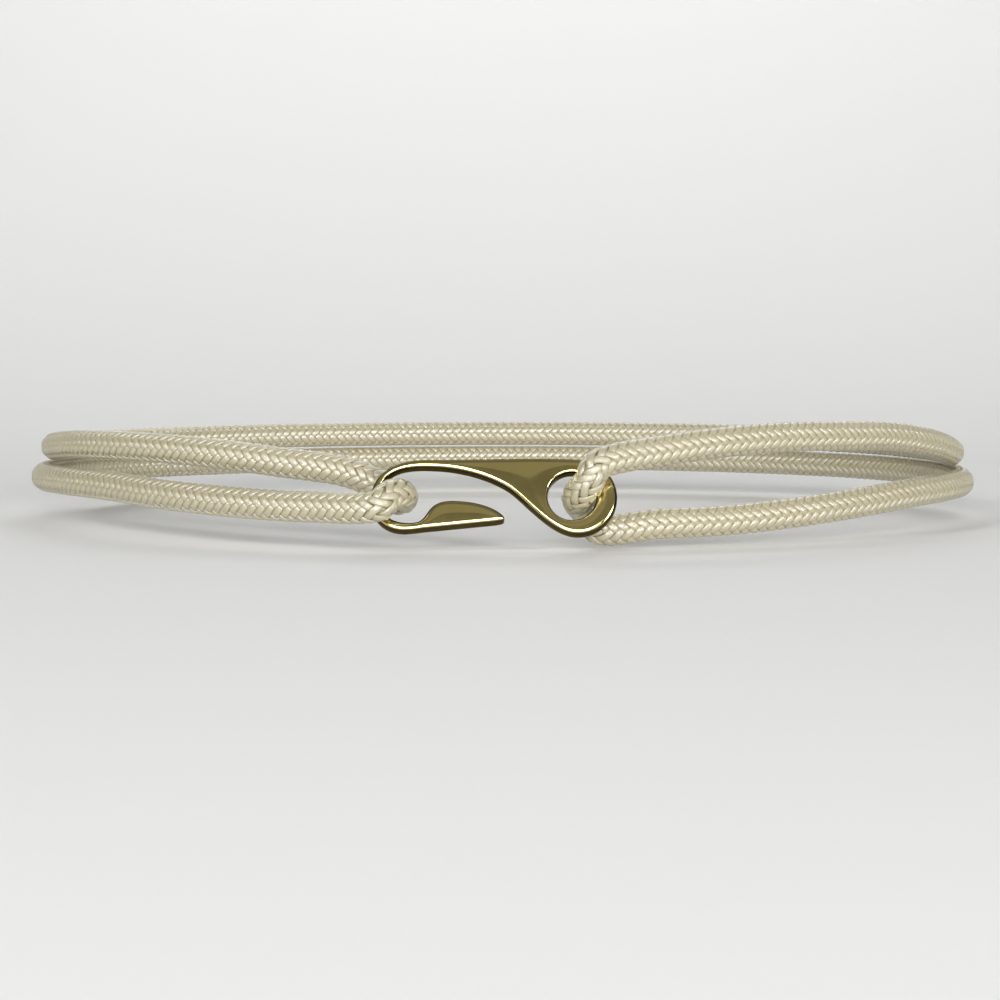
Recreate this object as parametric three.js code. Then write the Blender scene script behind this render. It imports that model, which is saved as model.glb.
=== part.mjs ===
// A cord belt: one endless braided cord, doubled round the waist, and one cast hook buckle.
// Millimetres, +Z up. The front of the belt faces -Y and +X is on the viewer's right.
// The origin is the middle of the waist opening.
import * as THREE from "three";

// Cord
const CORD_DIAMETER = 8.5;
const CORD_SIDES = 10;
const STEPS_PER_SPAN = 4;

// Waist: the cord's middle line follows an oval that grows towards the hips
const WAIST_HALF_WIDTH = 140.6;
const WAIST_HALF_DEPTH = 103;
const FLARE_SIDE = 0.344;
const FLARE_FRONT = 0.21;

// Buckle: where its middle sits, how far its top leans back, and its section
const BUCKLE_X = -2.1;
const BUCKLE_Y = -108;
const BUCKLE_Z = -1.8;
const BUCKLE_LEAN = THREE.MathUtils.degToRad(22);
const PLATE_THICKNESS = 4.2;
const EDGE_ROUNDING = 0.7;
const ROUNDING_STEPS = 3;
const CURVE_STEPS = 8;

// Eye: the round end of the buckle that the cord is threaded through
const EYE_X = 22.1;
const EYE_Y = -0.5;
const EYE_RADIUS = 10.6;
const HOLE_X = 20.7;
const HOLE_Y = -0.4;
const HOLE_RADIUS = 6.5;

// Bend: the round end of the open hook that carries the other end of the loop
const BEND_X = -22.9;
const BEND_Y = 0;

// How the cord turns round the eye's band and round the bend's band: each turn starts in front
// of the plate and ends behind it, between two angles about the middle of the hole or the bend.
const EYE_TURN = { x: HOLE_X, y: HOLE_Y, bandRadius: 9.15, start: 45, end: -41, reach: 7.75 };
const BEND_TURN = { x: BEND_X, y: BEND_Y, bandRadius: 8.75, start: 213, end: 147, reach: 7.4 };
const TURN_STEPS = 6;

const gold = new THREE.MeshStandardMaterial({ color: 0xa3935a, metalness: 1, roughness: 0.18 });
const ivory = new THREE.MeshStandardMaterial({ color: 0xe2dcbc, metalness: 0, roughness: 0.6 });

// The outline of the casting, drawn flat: the bar along the top, the hook's bend and tongue on
// the left, the swept lower edge of the bar, and the eye on the right.
function buckleOutline() {
  const outline = new THREE.Shape();
  outline.moveTo(EYE_X, EYE_Y + EYE_RADIUS);
  outline.bezierCurveTo(17.5, 10.3, 12, 10.4, 7, 10.3);
  outline.lineTo(-19, 9.9);
  // outside of the bend
  outline.bezierCurveTo(-27.0, 9.6, -32.6, 5.5, -32.7, -1.0);
  outline.bezierCurveTo(-32.8, -6.4, -29.3, -10.3, -23.5, -10.2);
  // straight lower edge of the tongue and its blunt tip
  outline.lineTo(0, -7.7);
  outline.bezierCurveTo(2.4, -7.4, 3.1, -6.5, 1.9, -5.1);
  // upper edge of the tongue, with the shoulder that keeps the cord in the bend
  outline.bezierCurveTo(0.3, -3.6, -3.5, -1.8, -9.5, -1.5);
  outline.bezierCurveTo(-19.2, -0.7, -16.3, -7.2, -21.5, -7.6);
  // inside of the bend
  outline.bezierCurveTo(-27.2, -7.9, -30.3, -5.2, -30.4, -1.0);
  outline.bezierCurveTo(-30.3, 4.6, -27.0, 7.4, -19.5, 7.5);
  // lower edge of the bar, which sweeps down round the eye
  outline.bezierCurveTo(-12.5, 7.6, -3.5, 6.2, 3.5, 1.7);
  outline.bezierCurveTo(7.9, -1.2, 15.0, -11.1, EYE_X, EYE_Y - EYE_RADIUS);
  outline.absarc(EYE_X, EYE_Y, EYE_RADIUS, -Math.PI / 2, Math.PI / 2, false);

  const hole = new THREE.Path();
  hole.absarc(HOLE_X, HOLE_Y, HOLE_RADIUS, 0, 2 * Math.PI, true);

  const flat = new THREE.Shape(withoutDoubles(outline.getPoints(CURVE_STEPS)));
  flat.holes.push(new THREE.Path(withoutDoubles(hole.getPoints(CURVE_STEPS))));
  return flat;
}

// Leaves out each point that falls on the one before it, where two stretches of a line meet.
function withoutDoubles(points) {
  return points.filter((point, i) => point.distanceTo(points.at(i - 1)) > 0.01);
}

function makeHookBuckle() {
  const geometry = new THREE.ExtrudeGeometry(buckleOutline(), {
    depth: PLATE_THICKNESS - 2 * EDGE_ROUNDING,
    bevelEnabled: true,
    bevelThickness: EDGE_ROUNDING,
    bevelSize: EDGE_ROUNDING,
    bevelOffset: -EDGE_ROUNDING,
    bevelSegments: ROUNDING_STEPS,
  });
  geometry.translate(0, 0, EDGE_ROUNDING - PLATE_THICKNESS / 2);
  const buckle = new THREE.Mesh(geometry, gold);
  buckle.name = "hook_buckle";
  return buckle;
}

// The buckle's own frame: along the bar, up the plate, and out towards the viewer.
const buckleFrame = new THREE.Group();
buckleFrame.position.set(BUCKLE_X, BUCKLE_Y, BUCKLE_Z);
buckleFrame.rotation.x = Math.PI / 2 - BUCKLE_LEAN;
buckleFrame.updateMatrixWorld(true);

// A place on the waist. angle is in degrees from the front, towards the viewer's right; height is
// above the origin; proud is how far the cord stands off the body there.
function onWaist({ angle, height, proud }) {
  const a = THREE.MathUtils.degToRad(angle);
  const halfWidth = WAIST_HALF_WIDTH - FLARE_SIDE * height + proud;
  const halfDepth = WAIST_HALF_DEPTH - FLARE_FRONT * height + proud;
  return new THREE.Vector3(halfWidth * Math.sin(a), -halfDepth * Math.cos(a), height);
}

// The cord's half turn round a band of the buckle. The band is an arc of bandRadius about (x, y),
// and reach is how far the cord's middle line stays from the middle of the band.
function aroundBand({ x, y, bandRadius, start, end, reach }) {
  const places = [];
  for (let i = 0; i <= TURN_STEPS; i++) {
    const along = THREE.MathUtils.degToRad(THREE.MathUtils.lerp(start, end, i / TURN_STEPS));
    const turn = Math.PI * (0.5 - i / TURN_STEPS);
    const radius = bandRadius - reach * Math.cos(turn);
    const place = new THREE.Vector3(
      x + radius * Math.cos(along),
      y + radius * Math.sin(along),
      reach * Math.sin(turn),
    );
    places.push(place.applyMatrix4(buckleFrame.matrixWorld));
  }
  return places;
}

// From the hook's bend, over the left hip, round the back and over the right hip to the eye
const UPPER_STRAND = [
  { angle: -17, height: 3.8, proud: 0 },
  { angle: -26, height: 6.4, proud: 0 },
  { angle: -38, height: 8.6, proud: 0 },
  { angle: -52, height: 9.2, proud: 0 },
  { angle: -65, height: 8.5, proud: 0 },
  { angle: -80, height: 6.5, proud: 0 },
  { angle: -100, height: 5.0, proud: 0 },
  { angle: -125, height: 4.6, proud: 0 },
  { angle: -155, height: 4.4, proud: 0 },
  { angle: 175, height: 4.4, proud: 0 },
  { angle: 145, height: 4.4, proud: 0 },
  { angle: 120, height: 4.4, proud: 0 },
  { angle: 98, height: 4.4, proud: 0 },
  { angle: 81, height: 4.6, proud: 0 },
  { angle: 68, height: 8.4, proud: 0 },
  { angle: 55, height: 11.6, proud: 0 },
  { angle: 43, height: 12.6, proud: 1 },
  { angle: 33, height: 12.8, proud: 3 },
  { angle: 25, height: 12.1, proud: 6 },
  { angle: 17.5, height: 10.4, proud: 9 },
];

// From the eye, under the first strand all the way back to the hook's bend
const LOWER_STRAND = [
  { angle: 17, height: -9.7, proud: 0.5 },
  { angle: 24, height: -9.4, proud: 0 },
  { angle: 33, height: -8.1, proud: 0 },
  { angle: 43, height: -6.4, proud: 0 },
  { angle: 55, height: -4.7, proud: 0 },
  { angle: 68, height: -4.2, proud: 0 },
  { angle: 81, height: -4.5, proud: 0 },
  { angle: 98, height: -4.4, proud: 0 },
  { angle: 120, height: -4.4, proud: 0 },
  { angle: 145, height: -4.4, proud: 0 },
  { angle: 175, height: -4.4, proud: 0 },
  { angle: -155, height: -4.4, proud: 0 },
  { angle: -125, height: -4.2, proud: 0 },
  { angle: -100, height: -3.4, proud: 0 },
  { angle: -80, height: -2.7, proud: 0 },
  { angle: -65, height: -2.1, proud: 0 },
  { angle: -52, height: -2.2, proud: 0.5 },
  { angle: -40, height: -3.3, proud: 3.5 },
  { angle: -29, height: -4.2, proud: 7.2 },
  { angle: -19.5, height: -4.5, proud: 11 },
];

// A closed curve whose steps are counted from place to place, so that they lie closer together
// where the cord turns through the buckle than where it runs round the waist.
class CordRoute extends THREE.CatmullRomCurve3 {
  constructor(places) {
    super(places, true, "centripetal");
  }

  getUtoTmapping(u) {
    return u;
  }
}

function makeCordLoop() {
  const places = [
    ...UPPER_STRAND.map(onWaist),
    ...aroundBand(EYE_TURN),
    ...LOWER_STRAND.map(onWaist),
    ...aroundBand(BEND_TURN),
  ];
  const route = new CordRoute(places);
  const steps = STEPS_PER_SPAN * places.length;
  const geometry = new THREE.TubeGeometry(route, steps, CORD_DIAMETER / 2, CORD_SIDES, true);
  const cord = new THREE.Mesh(geometry, ivory);
  cord.name = "cord_loop";
  return cord;
}

const belt = new THREE.Group();
buckleFrame.add(makeHookBuckle());
belt.add(buckleFrame);
belt.add(makeCordLoop());

export default belt;
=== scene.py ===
import math

import bmesh
import bpy
import numpy as np
from mathutils import Matrix


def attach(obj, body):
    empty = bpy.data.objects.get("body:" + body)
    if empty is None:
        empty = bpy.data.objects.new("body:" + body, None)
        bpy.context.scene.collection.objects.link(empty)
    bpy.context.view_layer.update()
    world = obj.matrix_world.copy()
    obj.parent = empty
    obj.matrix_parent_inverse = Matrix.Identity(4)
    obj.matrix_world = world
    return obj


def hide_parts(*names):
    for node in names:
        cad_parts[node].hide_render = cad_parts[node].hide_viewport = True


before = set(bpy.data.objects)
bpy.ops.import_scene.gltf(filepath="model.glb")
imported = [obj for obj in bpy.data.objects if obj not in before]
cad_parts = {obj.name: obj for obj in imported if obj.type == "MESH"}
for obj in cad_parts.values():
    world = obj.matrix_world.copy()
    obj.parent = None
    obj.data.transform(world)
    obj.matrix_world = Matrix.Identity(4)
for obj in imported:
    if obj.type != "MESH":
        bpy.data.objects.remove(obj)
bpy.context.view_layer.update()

bl_info = {
    "name": "Braided cord belt",
    "version": (1, 0, 0),
    "blender": (4, 5, 0),
    "location": "View3D > Sidebar > Cord belt",
    "description": "Builds a braided cord belt with a cast hook round its packed frame",
    "category": "Object",
}

MM = 0.001

# The waist that the cord lies on, in millimetres: half its width and depth at the belt's mid-line,
# and how fast it grows towards the hips.
WAIST_HALF_WIDTH = 140.6
WAIST_HALF_DEPTH = 103.0
FLARE_SIDE = 0.344
FLARE_FRONT = 0.21

# The cord's middle line on the waist: degrees from the front, height, and how far it stands off.
UPPER_STRAND = (
    (-17, 3.8, 0), (-26, 6.4, 0), (-38, 8.6, 0), (-52, 9.2, 0), (-65, 8.5, 0), (-80, 6.5, 0),
    (-100, 5.0, 0), (-125, 4.6, 0), (-155, 4.4, 0), (175, 4.4, 0), (145, 4.4, 0), (120, 4.4, 0),
    (98, 4.4, 0), (81, 4.6, 0), (68, 8.4, 0), (55, 11.6, 0), (43, 12.6, 1), (33, 12.8, 3),
    (25, 12.1, 6), (17.5, 10.4, 9),
)
LOWER_STRAND = (
    (17, -9.7, 0.5), (24, -9.4, 0), (33, -8.1, 0), (43, -6.4, 0), (55, -4.7, 0), (68, -4.2, 0),
    (81, -4.5, 0), (98, -4.4, 0), (120, -4.4, 0), (145, -4.4, 0), (175, -4.4, 0), (-155, -4.4, 0),
    (-125, -4.2, 0), (-100, -3.4, 0), (-80, -2.7, 0), (-65, -2.1, 0), (-52, -2.2, 0.5),
    (-40, -3.3, 3.5), (-29, -4.2, 7.2), (-19.5, -4.5, 11),
)
# The half turns round the buckle: the middle of the arc, its radius, its two ends in degrees, and
# how far the cord's middle line stays from the band.
EYE_TURN = (20.7, -0.4, 9.15, 45, -41, 7.75)
BEND_TURN = (-22.9, 0.0, 8.75, 213, 147, 7.4)
TURN_STEPS = 6
# Points that are worked out between two places before the route is spaced evenly
SPAN_SAMPLES = 80

YARNS_EACH_WAY = 8
YARNS_IN_PIECE = 4
# How far the braid is turned about the cord, in degrees, on the upper and the lower strand, so
# that the tips of its arrows run along the front of both
UPPER_BRAID_TURN = 11.25
LOWER_BRAID_TURN = -33.75
# A yarn's section, as shares of half its width and half its thickness: pressed flat and domed
YARN_SECTION = (
    (0, -1), (1, -0.15), (0.92, 0.56), (0.55, 0.9),
    (0, 1), (-0.55, 0.9), (-0.92, 0.56), (-1, -0.15),
)
# How long a yarn stays on top before it dives: 1 is a plain wave, and more is flatter
FLOAT_FLATNESS = 2.0
# How much narrower or wider a yarn is where it is squeezed under or lies on top
WIDTH_CHANGE = 0.07
CORE_RINGS = 700
CORE_SIDES = 12

# The buckle's own frame, in millimetres: along the bar, up the plate, out of it. The eye and its
# hole are given by their middles and radii.
BUCKLE_PLACE = (-2.1, -108.0, -1.8)
BUCKLE_LEAN = math.radians(22)
EYE = (22.1, -0.5, 10.6)
HOLE = (20.7, -0.4, 6.5)
# The outline after the eye's top, as runs of a curve: two handles and an end, or an end alone
OUTLINE = (
    ((17.5, 10.3), (12, 10.4), (7, 10.3)),
    ((-19, 9.9),),
    ((-27.0, 9.6), (-32.6, 5.5), (-32.7, -1.0)),
    ((-32.8, -6.4), (-29.3, -10.3), (-23.5, -10.2)),
    ((0.4, -7.75),),
    ((2.9, -7.4), (3.4, -6.6), (2.0, -5.2)),
    ((0.3, -3.6), (-3.5, -1.8), (-9.5, -1.5)),
    ((-19.2, -0.7), (-16.3, -7.2), (-21.5, -7.6)),
    ((-27.2, -7.9), (-30.3, -5.2), (-30.4, -1.0)),
    ((-30.3, 4.6), (-27.0, 7.4), (-19.5, 7.5)),
    ((-12.5, 7.6), (-3.5, 6.2), (3.5, 1.7)),
    ((7.9, -1.2), (15.0, -11.1), (22.1, -11.1)),
)
CURVE_POINTS = 40
OUTLINE_SPACING = 0.4
EDGE_STEPS = 10
# The faces rise towards their middles over this width. The edge takes at most the first of these
# shares of the metal's half width, and the faces' rows end at the second.
CROWN_WIDTH = 6.0
WIDEST_EDGE = 0.9
LAST_ROW = 0.97

# The UV map that runs along each yarn, the one laid out for baking, and the stretches it is cut
# into
UV_MAP = "along"
BAKE_MAP = "OFBake"
BAKE_STRETCHES = 10
# The attribute that tells how high a yarn rides, from -1 to 1, or how far the buckle's surface
# faces out of the plate, from 0 to 1
HEIGHT = "height"

# How often the fibres of a yarn and their bundles change: along it, to the millimetre, and across
# the four yarns of a piece
FIBRE_NOISE = (0.30, 170.0)
BUNDLE_NOISE = (0.16, 60.0)
# How often the other patterns change, to the metre: the drift of the painted shade where a yarn
# dives, the core's fluff, the clouds and the fine grain of the polish, and the floor
DRIFT_NOISE = 55.0
FLUFF_NOISE = 900.0
CLOUD_NOISE = 90.0
GRAIN_NOISE = 900.0
FLOOR_NOISE = 3.0
# Where the polish and coat begin and the walls' painted shade ends, on the way from the walls, 0,
# to the faces, 1, and how fast the change is
POLISH_AND_WALL_SHADE_START, POLISH_AND_WALL_SHADE_RISE = 0.77, 8.0
# How fast the plating turns pale where the edge begins to turn down: a painted highlight, the cream
# of the edge's highlight
PAINTED_HIGHLIGHT_RISE = 40.0
# The tint of what the metal mirrors at a low angle
LOW_ANGLE_TINT = (0.55, 0.5, 0.4)

# The stage, in metres
FLOOR_HALF_WIDTH, FLOOR_HALF_DEPTH = 20.0, 9.0
BACKDROP_Y, BACKDROP_HEIGHT, BACKDROP_CURVE = 1.5, 4.0, 1.2
# Each soft light: its name, which is also its setting's, its place, its aim, its width and height
BELT_FRONT = (0.0, -0.1, 0.0)
LIGHTS = (
    ("front", (0.0, -1.75, 0.42), BELT_FRONT, 0.9, 0.7),
    ("left", (-1.15, -1.15, 0.85), BELT_FRONT, 0.6, 0.4),
    ("right", (1.20, -1.25, 0.32), BELT_FRONT, 0.6, 0.4),
    ("face", (0.15, -1.0, 0.92), BELT_FRONT, 0.9, 0.25),
    ("back", (0.0, 1.15, 0.95), (0.0, 0.1, 0.0), 1.2, 0.4),
    ("wall", (0.0, 0.5, 1.6), (0.0, 1.7, 0.5), 3.0, 0.6),
)
CAMERA_PLACE = (-0.0005, -0.708, 0.0456)
CAMERA_DIP = math.radians(4.6)
# The camera's focal length as a share of its sensor's width
FOCAL_SHARE = 2.264


def on_waist(angle, height, proud):
    """A place on the waist, in millimetres."""
    a = math.radians(angle)
    half_width = WAIST_HALF_WIDTH - FLARE_SIDE * height + proud
    half_depth = WAIST_HALF_DEPTH - FLARE_FRONT * height + proud
    return half_width * math.sin(a), -half_depth * math.cos(a), height


def buckle_matrix():
    """The buckle's own frame in the belt's, in millimetres."""
    return Matrix.Translation(BUCKLE_PLACE) @ Matrix.Rotation(math.pi / 2 - BUCKLE_LEAN, 4, "X")


def around_band(x, y, band_radius, start, end, reach):
    """Places on the cord's half turn round a band of the buckle, from in front to behind."""
    to_belt = np.array(buckle_matrix())
    places = []
    for i in range(TURN_STEPS + 1):
        share = i / TURN_STEPS
        along = math.radians(start + (end - start) * share)
        turn = math.pi * (0.5 - share)
        radius = band_radius - reach * math.cos(turn)
        local = (x + radius * math.cos(along), y + radius * math.sin(along), reach * math.sin(turn))
        places.append(tuple(to_belt[:3, :3] @ local + to_belt[:3, 3]))
    return places


def route_places():
    """The places that the cord runs through, from the middle of the back of the upper strand, and
    how far each is from the upper strand to the lower one, from 0 to 1."""
    upper = [on_waist(*p) for p in UPPER_STRAND]
    lower = [on_waist(*p) for p in LOWER_STRAND]
    places = upper + around_band(*EYE_TURN) + lower + around_band(*BEND_TURN)
    change = smooth_step(0, 1, np.linspace(0, 1, TURN_STEPS + 1))
    lowered = np.concatenate([np.zeros(len(upper)), change, np.ones(len(lower)), change[::-1]])
    back = -(len(UPPER_STRAND) // 2 - 1)
    return np.roll(places, back, axis=0) * MM, np.roll(lowered, back)


def smooth_route(places, samples):
    """A closed centripetal Catmull-Rom curve through the places, with samples points to a span."""
    p0, p1, p2, p3 = (np.roll(places, k, axis=0) for k in (1, 0, -1, -2))
    pairs = ((p0, p1), (p1, p2), (p2, p3))
    d0, d1, d2 = (np.linalg.norm(b - a, axis=1, keepdims=True) ** 0.5 for a, b in pairs)
    t1 = ((p1 - p0) / d0 - (p2 - p0) / (d0 + d1) + (p2 - p1) / d1) * d1
    t2 = ((p2 - p1) / d1 - (p3 - p1) / (d1 + d2) + (p3 - p2) / d2) * d1
    w = (np.arange(samples) / samples)[None, :, None]
    p1, p2, t1, t2 = (a[:, None, :] for a in (p1, p2, t1, t2))
    curve = p1 + t1 * w + (3 * (p2 - p1) - 2 * t1 - t2) * w**2 + (2 * (p1 - p2) + t1 + t2) * w**3
    return curve.reshape(-1, 3)


def lengths_along(points):
    """The distance along a closed line at each point, and once more at its end."""
    steps = np.linalg.norm(np.roll(points, -1, axis=0) - points, axis=1)
    return np.concatenate([[0.0], np.cumsum(steps)])


def evenly_spaced(points, count, *values):
    """count points at equal distances along a closed line, and any values given along it."""
    along = lengths_along(points)
    at = np.arange(count) / count * along[-1]
    columns = [*points.T, *values]
    even = [np.interp(at, along, np.append(column, column[0])) for column in columns]
    return np.stack(even[: points.shape[1]], axis=1), *even[points.shape[1] :]


def smooth_step(low, high, values):
    t = np.clip((values - low) / (high - low), 0.0, 1.0)
    return t * t * (3 - 2 * t)


def unit(vectors):
    return vectors / np.linalg.norm(vectors, axis=1, keepdims=True)


class Route:
    """The cord's middle line at count even steps, with directions up and across it."""

    def __init__(self, count):
        places, lowered = route_places()
        fine = smooth_route(places, SPAN_SAMPLES)
        span = np.arange(len(fine)) / SPAN_SAMPLES
        lowered = np.interp(span, np.arange(len(places) + 1), np.append(lowered, lowered[0]))
        self.length = lengths_along(fine)[-1]
        self.middle, self.lower = evenly_spaced(fine, count, lowered)
        ahead = unit(np.roll(self.middle, -1, axis=0) - np.roll(self.middle, 1, axis=0))
        up = np.array([0.0, 0.0, 1.0]) - ahead * ahead[:, 2:3]
        self.up = unit(up)
        self.across = np.cross(ahead, self.up)
        self.share = np.arange(count) / count

    def around(self, angle, radius):
        """Points at an angle from the top of the cord, radius from its middle line."""
        out = np.cos(angle)[:, None] * self.up + np.sin(angle)[:, None] * self.across
        return self.middle + radius[:, None] * out, out


def closed_grid(bm, places, values=None, uv_band=(0.0, 1.0), open_sides=False):
    """Adds a surface through places, an array of rings, with the last ring joined to the first.
    Each ring is closed too, unless open_sides. Its UV map runs once along it, and across it
    between the ends of uv_band, and its vertices keep the values as an attribute."""
    uv = bm.loops.layers.uv.get(UV_MAP) or bm.loops.layers.uv.new(UV_MAP)
    kept = bm.verts.layers.float.get(HEIGHT) or bm.verts.layers.float.new(HEIGHT)
    rings, sides = places.shape[:2]
    rows = sides - 1 if open_sides else sides
    made = bmesh.ops.create_grid(bm, x_segments=rings, y_segments=rows, size=1.0, calc_uvs=True)
    verts = made["verts"]
    column = [round((v.co.x + 1) / 2 * rings) for v in verts]
    row = [round((v.co.y + 1) / 2 * rows) for v in verts]
    index = (np.array(column) % rings, np.array(row) % sides)
    for vert, place in zip(verts, places[index].tolist()):
        vert.co = place
    if values is not None:
        for vert, value in zip(verts, values[index].tolist()):
            vert[kept] = value
    low, high = uv_band
    for face in {f for v in verts for f in v.link_faces}:
        for loop in face.loops:
            loop[uv].uv.y = low + (high - low) * loop[uv].uv.y
    last = -1 if open_sides else rows
    edge = [v for v, i, j in zip(verts, column, row) if i in (0, rings) or j == last or j == 0]
    bmesh.ops.remove_doubles(bm, verts=edge, dist=1e-8)


def finished_mesh(name, bm):
    """A smooth mesh from bm, its faces turned outwards."""
    bmesh.ops.recalc_face_normals(bm, faces=bm.faces[:])
    for face in bm.faces:
        face.smooth = True
    mesh = bpy.data.meshes.new(name)
    bm.to_mesh(mesh)
    bm.free()
    return mesh


def add_bake_map(mesh, bands):
    """A second UV map that fills its square: each band of the first one, which runs once along the
    whole cord, is cut into stretches that lie one above the other."""
    faces = len(mesh.polygons)
    along = np.empty(faces * 8)
    mesh.uv_layers[UV_MAP].data.foreach_get("uv", along)
    along = along.reshape(faces, 4, 2)
    middle = along.mean(axis=1)
    stretch = np.floor(middle[:, 0] * BAKE_STRETCHES)
    band = np.floor(middle[:, 1] * bands)
    u = along[:, :, 0] * BAKE_STRETCHES - stretch[:, None]
    v = along[:, :, 1] * bands - band[:, None]
    v = ((band * BAKE_STRETCHES + stretch)[:, None] + v) / (bands * BAKE_STRETCHES)
    layer = mesh.uv_layers.new(name=BAKE_MAP)
    layer.data.foreach_set("uv", np.stack([u, v], axis=2).ravel())


def add_piece(name, mesh, material, slot, *nodes):
    piece = bpy.data.objects.new(name, mesh)
    bpy.context.scene.collection.objects.link(piece)
    mesh.materials.append(material)
    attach(piece, "root")
    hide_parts(*nodes)
    return piece


class Socket:
    """An output socket whose arithmetic adds Math nodes."""

    def __init__(self, shader, socket):
        self.shader = shader
        self.socket = socket

    def math(self, operation, *values):
        return self.shader.node("ShaderNodeMath", {"operation": operation}, *values)

    def __add__(self, other):
        return self.math("ADD", self, other)

    def __radd__(self, other):
        return self.math("ADD", other, self)

    def __sub__(self, other):
        return self.math("SUBTRACT", self, other)

    def __rsub__(self, other):
        return self.math("SUBTRACT", other, self)

    def __mul__(self, other):
        return self.math("MULTIPLY", self, other)

    def __rmul__(self, other):
        return self.math("MULTIPLY", other, self)

    def clamp(self):
        return self.shader.node("ShaderNodeClamp", {}, self)


class Shader:
    """A new material, its Principled shader, and one way to add any other node."""

    def __init__(self, name, constants):
        self.material = bpy.data.materials.new(name)
        self.material.use_nodes = True
        self.tree = self.material.node_tree
        self.surface = next(n for n in self.tree.nodes if n.type == "BSDF_PRINCIPLED")
        for label, value in constants.items():
            self.surface.inputs[label].default_value = value

    def node(self, kind, settings, *values, out=0, **named):
        node = self.tree.nodes.new(kind)
        for key, value in settings.items():
            setattr(node, key, value)
        for key, value in [*enumerate(values), *named.items()]:
            if value is not None:
                self.feed(node.inputs[key], value)
        return Socket(self, node.outputs[out])

    def feed(self, socket, value):
        if isinstance(value, Socket):
            self.tree.links.new(value.socket, socket)
        else:
            socket.default_value = value

    def mix(self, share, a, b):
        return self.node(
            "ShaderNodeMix", {"data_type": "RGBA"}, share, None, None, None, None, None, a, b, out=2
        )

    def noise(self, vector, scale, detail=2.0, roughness=0.5):
        return self.node(
            "ShaderNodeTexNoise", {}, Vector=vector, Scale=scale, Detail=detail, Roughness=roughness
        )

    def scaled(self, vector, scale):
        return self.node("ShaderNodeMapping", {}, Vector=vector, Scale=scale)

    def place(self):
        """The place on the object."""
        return self.node("ShaderNodeTexCoord", {}, out=3)

    def height(self):
        """The piece's own attribute."""
        return self.node("ShaderNodeAttribute", {"attribute_name": HEIGHT}, out=2)

    def shine(self, label, value):
        self.feed(self.surface.inputs[label], value)

    def bump(self, height, strength, depth):
        self.shine(
            "Normal",
            self.node("ShaderNodeBump", {}, Strength=strength, Distance=depth, Height=height),
        )


def rgb(colour):
    return (*colour, 1.0)


def yarn_material(settings, yarn_length):
    shader = Shader(
        "silky_ivory_yarn",
        {"IOR": 1.75, "Specular IOR Level": 1.0, "Coat Weight": 0.6, "Coat Roughness": 0.25},
    )
    uv = shader.node("ShaderNodeUVMap", {"uv_map": UV_MAP})
    (fibre, fibres_across), (bundle, bundles_across) = FIBRE_NOISE, BUNDLE_NOISE
    fine = shader.scaled(uv, (yarn_length / MM * fibre, fibres_across, 1.0))
    coarse = shader.scaled(uv, (yarn_length / MM * bundle, bundles_across, 1.0))
    fibres = shader.noise(fine, 1.0, 3.0, 0.6)
    bundles = shader.noise(coarse, 1.0, 1.0)
    drift = shader.noise(shader.place(), DRIFT_NOISE)
    # Painted shade: by how high the yarn rides, its colour turns to the dark tints where it dives
    # under the others.
    crown = (shader.height() * 0.9 + 0.55).clamp()
    across = shader.node("ShaderNodeSeparateXYZ", {}, uv, out=1)
    # Painted shade round each yarn's section: lighter on its crown, darker on its sides and
    # underside. It is added to the fibre and bundle streaks, which are the yarn's own tone, and the
    # sum feeds the roughness too.
    painted_round_shade = across.math("COSINE", across * (YARNS_IN_PIECE * 2 * math.pi))
    streaks_and_painted_shade = ((fibres - 0.5) * 1.3 + (bundles - 0.5) * 0.7 - painted_round_shade * 0.22 + 0.48).clamp()
    silk = shader.mix(streaks_and_painted_shade, rgb(settings.shade), rgb(settings.colour))
    # The painted shade where a yarn dives: the crevice and shade tints, mixed at random by the
    # drift.
    deep = shader.mix(drift, rgb(settings.crevice_shade), rgb(settings.shade))
    shader.shine("Base Color", shader.mix(crown, deep, silk))
    shader.shine("Roughness", (streaks_and_painted_shade * -0.14 + 0.38).clamp())
    shader.bump(fibres * 0.6 + bundles * 0.7, strength=0.8, depth=0.00018)
    return shader.material


def core_material(settings):
    shader = Shader("cotton_core", {"Roughness": 0.9})
    fluff = shader.noise(shader.place(), FLUFF_NOISE, 3.0)
    # The core shows only in the gaps between the yarns, so its colour is painted shade: the crevice
    # and shade tints, mixed at random by the fluff.
    shader.shine("Base Color", shader.mix(fluff, rgb(settings.crevice_shade), rgb(settings.shade)))
    return shader.material


def gold_material(settings):
    shader = Shader(
        "polished_pale_gold",
        {"Metallic": 1.0, "Specular Tint": rgb(LOW_ANGLE_TINT), "Coat Roughness": 0.06},
    )
    place = shader.place()
    cloud = shader.noise(place, CLOUD_NOISE, 3.0)
    grain = shader.noise(shader.scaled(place, (1.0, 6.0, 6.0)), GRAIN_NOISE, 4.0, 0.6)
    facing = shader.height()
    # Painted shade and painted dark reflection: the walls, which face away from the plate, take the
    # near-black wall colour; the faces keep the plating and its coat.
    face = ((facing - POLISH_AND_WALL_SHADE_START) * POLISH_AND_WALL_SHADE_RISE).clamp()
    # Painted highlight: on the edge's first turn, where the highlight falls, the plating turns pale
    # cream.
    rounded = ((1.0 - facing) * PAINTED_HIGHLIGHT_RISE).clamp()
    plated = shader.mix(cloud, rgb(settings.tarnish), rgb(settings.colour))
    plated = shader.mix(rounded, plated, rgb(settings.rim))
    shader.shine("Base Color", shader.mix(face, rgb(settings.wall), plated))
    shader.shine("Coat Weight", face * 0.4)
    shader.shine("Roughness", (cloud * 0.08 + grain * 0.06 + settings.roughness - 0.07).clamp())
    shader.bump(cloud * 0.9 + grain * 0.12, strength=0.5, depth=0.00004)
    return shader.material


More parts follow.
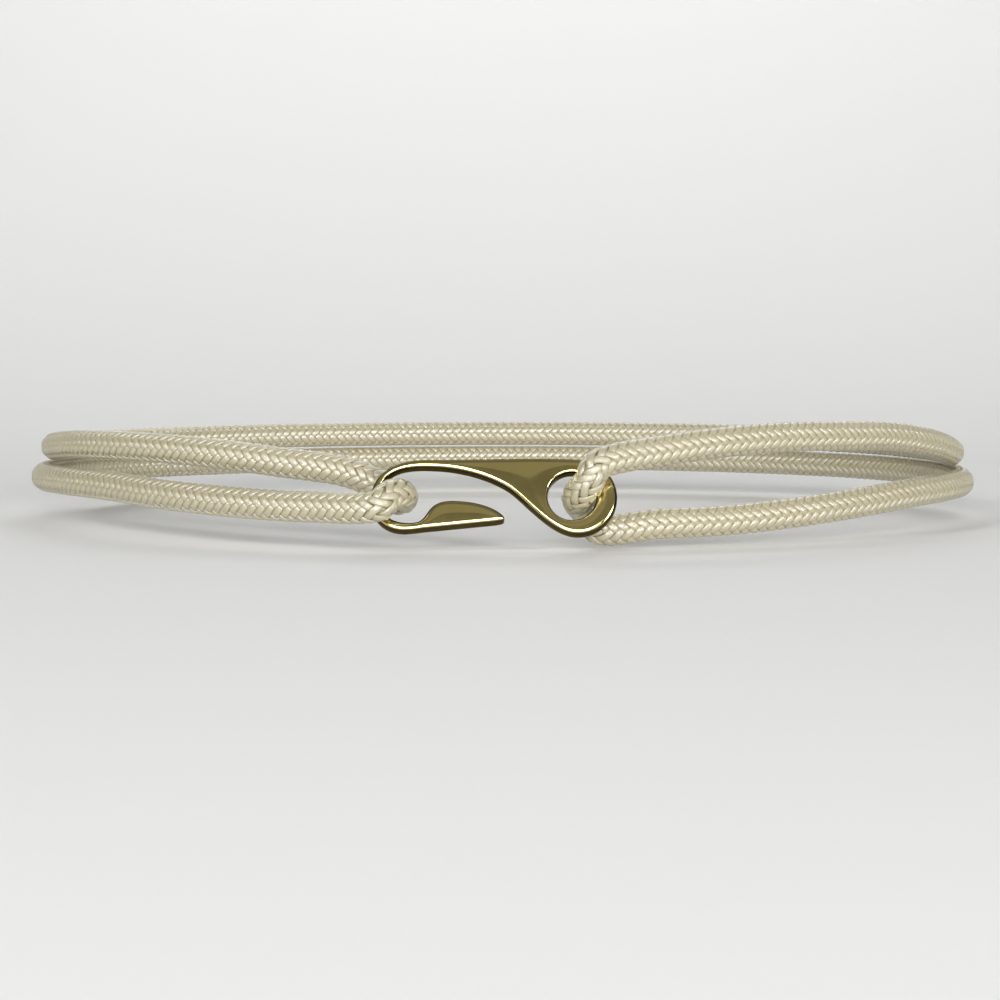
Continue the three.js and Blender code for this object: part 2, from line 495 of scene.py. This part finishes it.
def floor_material(settings):
    shader = Shader("matt_pale_floor", {"Roughness": 0.85})
    cloud = shader.noise(shader.place(), FLOOR_NOISE)
    duller = [0.985 * c for c in settings.colour]
    shader.shine("Base Color", shader.mix(cloud, rgb(duller), rgb(settings.colour)))
    return shader.material


def size(name, text, default):
    return bpy.props.FloatProperty(
        name=name, description=text, default=default, unit="LENGTH", subtype="DISTANCE",
        precision=5,
    )


def tint(name, text, default):
    return bpy.props.FloatVectorProperty(
        name=name, description=text, default=default, size=3, min=0.0, max=1.0, subtype="COLOR"
    )


def power(name, text, default):
    return bpy.props.FloatProperty(
        name=name, description=text, default=default, min=0.0, unit="POWER"
    )


class CordSettings(bpy.types.PropertyGroup):
    diameter: size("Diameter", "Outer diameter of the round braid", 0.0085)
    turns: bpy.props.IntProperty(
        name="Turns", description="Full turns that each yarn makes round the whole loop", default=68
    )
    yarn_width: size("Yarn width", "Width of one yarn where it lies on top", 0.00214)
    yarn_thickness: size("Yarn thickness", "Thickness of one yarn", 0.00108)
    crimp: size("Crimp", "How far a yarn moves in and out from its middle depth", 0.00044)
    rings_per_wave: bpy.props.IntProperty(
        name="Steps", description="Steps along a yarn from one crown to the next", default=10
    )
    colour: tint("Silk", "Colour of the yarn's crowns", (0.45, 0.41, 0.278))
    # Shade: the darker tone between the fibres, and also painted shade on each yarn's sides and
    # underside and where it dives under the others.
    shade: tint("Shade", "Colour between the fibres", (0.335, 0.287, 0.162))
    # Crevice: painted shade, the dark tint deep between the yarns where one dives under the others,
    # and on the core.
    crevice_shade: tint("Crevice", "Colour deep between the yarns", (0.195, 0.155, 0.07))


class BuckleSettings(bpy.types.PropertyGroup):
    thickness: size("Thickness", "Thickness of the casting", 0.0042)
    edge: size("Edge", "Width of the rounded edge", 0.0013)
    hole_edge: size("Hole's edge", "Width of the rounded edge of the eye's hole", 0.0008)
    dome: size("Dome", "How far the faces rise from their edges to their middles", 0.00014)
    colour: tint("Gold", "Colour of the plating", (0.87, 0.715, 0.262))
    tarnish: tint("Tarnish", "Colour where the plating is dull", (0.67, 0.535, 0.19))
    # Rim: painted highlight, the pale cream of the plating on the edge's first turn, where the
    # highlight falls.
    rim: tint("Rim", "Colour of the plating where the edges are polished", (0.84, 0.715, 0.33))
    # Wall: painted shade and painted dark reflection, near black on the walls below the edges.
    wall: tint("Wall", "Colour of the unpolished walls between the faces", (0.085, 0.068, 0.032))
    roughness: bpy.props.FloatProperty(
        name="Roughness", description="How matt the polish is", default=0.11, min=0.0, max=1.0
    )


class StageSettings(bpy.types.PropertyGroup):
    floor: size("Floor", "Height of the floor", -0.0165)
    colour: tint("Floor colour", "Colour of the floor and the backdrop", (0.79, 0.79, 0.78))
    sky: bpy.props.FloatProperty(
        name="Fill", description="Strength of the light from all round", default=0.14, min=0.0
    )
    front: power("Front", "Power of the soft light behind the camera", 25.0)
    left: power("Left", "Power of the soft light high on the left", 9.5)
    right: power("Right", "Power of the soft light on the right", 12.5)
    face: power("Face", "Power of the faint panel that the buckle's faces mirror", 0.10)
    back: power("Back", "Power of the soft light behind the belt", 3.6)
    wall: power("Wall", "Power of the light on the backdrop", 8.0)


SETTINGS = {
    "belt_cord": CordSettings,
    "belt_buckle": BuckleSettings,
    "belt_stage": StageSettings,
}


def soft_light(name, place, aim, width, height, watts):
    light = bpy.data.lights.new(name, "AREA")
    light.shape = "RECTANGLE"
    light.size, light.size_y, light.energy = width, height, watts
    lamp = bpy.data.objects.new(name, light)
    lamp.location = place
    towards = np.array(aim) - np.array(place)
    flat = math.hypot(towards[0], towards[1])
    lamp.rotation_euler = (
        math.pi / 2 - math.atan2(-towards[2], flat), 0.0, math.atan2(-towards[0], towards[1])
    )
    bpy.context.scene.collection.objects.link(lamp)


class BELT_OT_stage(bpy.types.Operator):
    """Sets up the floor, the backdrop, the soft lights and the camera"""

    bl_idname = "belt.stage"
    bl_label = "Stage"

    def execute(self, context):
        settings = context.scene.belt_stage
        bm = bmesh.new()
        bmesh.ops.create_grid(bm, x_segments=1, y_segments=1, size=1.0)
        bmesh.ops.scale(bm, vec=(FLOOR_HALF_WIDTH, FLOOR_HALF_DEPTH, 1.0), verts=bm.verts)
        place = (0.0, BACKDROP_Y - FLOOR_HALF_DEPTH, settings.floor)
        bmesh.ops.translate(bm, vec=place, verts=bm.verts)
        fold = [e for e in bm.edges if all(v.co.y > BACKDROP_Y - 0.1 for v in e.verts)]
        raised = bmesh.ops.extrude_edge_only(bm, edges=fold)["geom"]
        top = [v for v in raised if isinstance(v, bmesh.types.BMVert)]
        bmesh.ops.translate(bm, vec=(0.0, 0.0, BACKDROP_HEIGHT), verts=top)
        bmesh.ops.bevel(
            bm, geom=fold, offset=BACKDROP_CURVE, offset_type="OFFSET", segments=16, profile=0.5,
            affect="EDGES", material=-1,
        )
        for face in bm.faces:
            face.smooth = True
        mesh = bpy.data.meshes.new("floor")
        bm.to_mesh(mesh)
        bm.free()
        floor = bpy.data.objects.new("floor", mesh)
        context.scene.collection.objects.link(floor)
        mesh.materials.append(floor_material(settings))

        for label, place, aim, width, height in LIGHTS:
            soft_light(f"{label}_light", place, aim, width, height, getattr(settings, label))

        world = bpy.data.worlds.new("studio")
        world.use_nodes = True
        background = next(n for n in world.node_tree.nodes if n.type == "BACKGROUND")
        background.inputs["Color"].default_value = (1.0, 0.995, 0.97, 1.0)
        background.inputs["Strength"].default_value = settings.sky
        context.scene.world = world
        context.scene.view_settings.view_transform = "Standard"

        camera = bpy.data.cameras.new("camera")
        camera.lens = camera.sensor_width * FOCAL_SHARE
        camera.clip_start, camera.clip_end = 0.01, 50.0
        eye = bpy.data.objects.new("camera", camera)
        eye.location = CAMERA_PLACE
        eye.rotation_euler = (math.pi / 2 - CAMERA_DIP, 0.0, 0.0)
        context.scene.collection.objects.link(eye)
        context.scene.camera = eye
        return {"FINISHED"}


def yarn_places(route, settings, yarn, way):
    """The section points of one yarn at each step of the route, and how high it rides there."""
    half_turn = math.pi / YARNS_EACH_WAY
    angle = 2 * half_turn * yarn + way * 2 * math.pi * settings.turns * route.share
    swing = np.cos((angle / half_turn - 0.5) * math.pi / 2)
    wave = way * np.tanh(FLOAT_FLATNESS * swing) / math.tanh(FLOAT_FLATNESS)
    twist = np.radians(UPPER_BRAID_TURN + (LOWER_BRAID_TURN - UPPER_BRAID_TURN) * route.lower)
    half_thick = settings.yarn_thickness / 2
    mid_radius = settings.diameter / 2 - half_thick - settings.crimp
    line, out = route.around(angle + twist, mid_radius + settings.crimp * wave)
    along = unit(np.roll(line, -1, axis=0) - np.roll(line, 1, axis=0))
    rise = unit(out - along * np.sum(out * along, axis=1, keepdims=True))
    side = np.cross(along, rise)
    width = settings.yarn_width / 2 * (1 - WIDTH_CHANGE + WIDTH_CHANGE * wave)
    across, rising = np.array(YARN_SECTION).T
    places = (
        line[:, None, :]
        + side[:, None, :] * width[:, None, None] * across[None, :, None]
        + rise[:, None, :] * half_thick * rising[None, :, None]
    )
    return places, np.repeat(wave[:, None], len(YARN_SECTION), axis=1)


class BELT_OT_yarns(bpy.types.Operator):
    """Braids the cord's yarns, eight each way round, over two and under two"""

    bl_idname = "belt.yarns"
    bl_label = "Yarns"

    def execute(self, context):
        settings = context.scene.belt_cord
        waves = YARNS_EACH_WAY // 2 * settings.turns
        route = Route(waves * settings.rings_per_wave)
        slant = math.hypot(route.length, math.pi * settings.diameter * settings.turns)
        material = yarn_material(settings, slant)
        for way, side in ((1, "clockwise"), (-1, "anticlockwise")):
            for first in range(0, YARNS_EACH_WAY, YARNS_IN_PIECE):
                name = f"yarns_{side}_{first // YARNS_IN_PIECE + 1}"
                bm = bmesh.new()
                for k in range(YARNS_IN_PIECE):
                    places, wave = yarn_places(route, settings, first + k, way)
                    band = (k / YARNS_IN_PIECE, (k + 1) / YARNS_IN_PIECE)
                    closed_grid(bm, places, wave, band)
                mesh = finished_mesh(name, bm)
                add_bake_map(mesh, YARNS_IN_PIECE)
                add_piece(name, mesh, material, "cord", "cord_loop")
        return {"FINISHED"}


class BELT_OT_core(bpy.types.Operator):
    """Fills the middle of the braid with its soft core"""

    bl_idname = "belt.core"
    bl_label = "Core"

    def execute(self, context):
        settings = context.scene.belt_cord
        route = Route(CORE_RINGS)
        radius = settings.diameter / 2 - settings.yarn_thickness - settings.crimp
        radii = np.full(CORE_RINGS, radius)
        sides = []
        for k in range(CORE_SIDES):
            angles = np.full(CORE_RINGS, 2 * math.pi * k / CORE_SIDES)
            sides.append(route.around(angles, radii)[0])
        bm = bmesh.new()
        closed_grid(bm, np.stack(sides, axis=1))
        mesh = finished_mesh("braid_core", bm)
        add_bake_map(mesh, 1)
        add_piece("braid_core", mesh, core_material(settings), "cord", "cord_loop")
        return {"FINISHED"}


def bezier(a, b, c, d):
    t = (np.arange(CURVE_POINTS) / CURVE_POINTS)[:, None]
    a, b, c, d = (np.array(p, float) for p in (a, b, c, d))
    return (1 - t) ** 3 * a + 3 * (1 - t) ** 2 * t * b + 3 * (1 - t) * t**2 * c + t**3 * d


def arc(x, y, radius, start, end, count):
    turn = np.radians(start + (end - start) * np.arange(count) / count)
    return np.stack([x + radius * np.cos(turn), y + radius * np.sin(turn)], axis=1)


def outline_points():
    x, y, radius = EYE
    at = (x, y + radius)
    runs = []
    for *handles, end in OUTLINE:
        a, b = handles or (at, end)
        runs.append(bezier(at, a, b, end))
        at = end
    runs.append(arc(x, y, radius, -90, 90, 2 * CURVE_POINTS))
    return np.concatenate(runs)


def inward(points):
    """The direction into the metal at each point of a closed line that has it on its left."""
    ahead = unit(np.roll(points, -1, axis=0) - np.roll(points, 1, axis=0))
    return np.stack([-ahead[:, 1], ahead[:, 0]], axis=1)


def reach_inward(points, into, walls):
    """How far from each point the middle of the metal is: the radius of the largest circle that
    touches the edge there and crosses no wall."""
    apart = walls[None, :, :] - points[:, None, :]
    ahead = np.sum(apart * into[:, None, :], axis=2)
    square = np.sum(apart * apart, axis=2)
    radius = np.where(ahead > 1e-3, square / (2 * np.maximum(ahead, 1e-3)), np.inf)
    return radius.min(axis=1)


def even_line(points):
    return evenly_spaced(points, round(lengths_along(points)[-1] / OUTLINE_SPACING))[0]


class BELT_OT_buckle(bpy.types.Operator):
    """Casts the buckle: the flat bar, the open hook with its tongue, and the closed eye"""

    bl_idname = "belt.buckle"
    bl_label = "Hook buckle"

    def execute(self, context):
        settings = context.scene.belt_buckle
        outer = even_line(outline_points())
        hole = even_line(arc(*HOLE, 360, 0, 3 * CURVE_POINTS))
        walls = np.concatenate([outer, hole])
        to_belt = np.array(buckle_matrix())
        bm = bmesh.new()
        for line, edge in ((outer, settings.edge), (hole, settings.hole_edge)):
            into = inward(line)
            if line is outer and not self.turns_left(line):
                raise RuntimeError("the buckle's outline runs the wrong way round")
            deep = reach_inward(line, into, walls)
            places, turned = self.edge_rows(line, into, deep, edge / MM, settings)
            places = places @ to_belt[:3, :3].T + to_belt[:3, 3]
            facing = np.repeat(turned[None, :], len(line), axis=0)
            closed_grid(bm, places * MM, facing, open_sides=True)
        outward = to_belt[:3, 2]
        middle = to_belt[:3, 3] * MM
        for way in (1, -1):
            rim = [
                e
                for e in bm.edges
                if e.is_boundary and way * np.dot(np.array(e.verts[0].co) - middle, outward) > 0
            ]
            bmesh.ops.triangle_fill(bm, edges=rim, use_beauty=True, normal=way * outward)
        mesh = finished_mesh("cast_hook", bm)
        add_piece("cast_hook", mesh, gold_material(settings), "buckle", "hook_buckle")
        return {"FINISHED"}

    @staticmethod
    def turns_left(line):
        ahead = np.roll(line, -1, axis=0)
        return np.sum(line[:, 0] * ahead[:, 1] - line[:, 1] * ahead[:, 0]) > 0

    @staticmethod
    def edge_rows(line, into, deep, edge, settings):
        """Rows from the middle of the back, round the edge, to the middle of the front, and how
        far each faces out of the plate, from 0 to 1."""
        half = settings.thickness / 2 / MM
        width = np.minimum(edge, deep * WIDEST_EDGE)
        corner = np.minimum(width, half)
        turn = np.radians(np.linspace(0, 90, EDGE_STEPS))
        depth = [width * (1 - math.cos(t)) for t in turn]
        height = [half - corner * (1 - math.sin(t)) for t in turn]
        depth = depth[::-1] + depth
        height = [-h for h in height[::-1]] + height
        turned = [*np.sin(turn[::-1]), *np.sin(turn)]
        for share in (0.25, 0.5, 0.75, 1.0):
            inner = width + (deep * LAST_ROW - width) * share
            crown = np.clip((inner - settings.edge / MM) / CROWN_WIDTH, 0, 1)
            rise = half + settings.dome / MM * (1 - (1 - crown) ** 2)
            depth = [inner, *depth, inner]
            height = [-rise, *height, rise]
            turned = [1.0, *turned, 1.0]
        rows = [np.column_stack([line + into * d[:, None], h]) for d, h in zip(depth, height)]
        return np.stack(rows, axis=1), np.array(turned)


class BELT_PT_panel(bpy.types.Panel):
    """The belt's sizes and the steps that build it"""

    bl_idname = "BELT_PT_panel"
    bl_label = "Cord belt"
    bl_space_type = "VIEW_3D"
    bl_region_type = "UI"
    bl_category = "Cord belt"

    def draw(self, context):
        for operator in OPERATORS:
            self.layout.operator(operator.bl_idname)
        for group, kind in SETTINGS.items():
            box = self.layout.box()
            for label in kind.__annotations__:
                box.prop(getattr(context.scene, group), label)


OPERATORS = (BELT_OT_stage, BELT_OT_yarns, BELT_OT_core, BELT_OT_buckle)


def register():
    for kind in (*SETTINGS.values(), *OPERATORS, BELT_PT_panel):
        bpy.utils.register_class(kind)
    for group, kind in SETTINGS.items():
        setattr(bpy.types.Scene, group, bpy.props.PointerProperty(type=kind))


def unregister():
    for group in SETTINGS:
        delattr(bpy.types.Scene, group)
    for kind in (BELT_PT_panel, *reversed(OPERATORS), *SETTINGS.values()):
        bpy.utils.unregister_class(kind)


def main():
    register()
    bpy.ops.belt.stage()
    bpy.ops.belt.yarns()
    bpy.ops.belt.core()
    bpy.ops.belt.buckle()


if __name__ == "__main__":
    main()
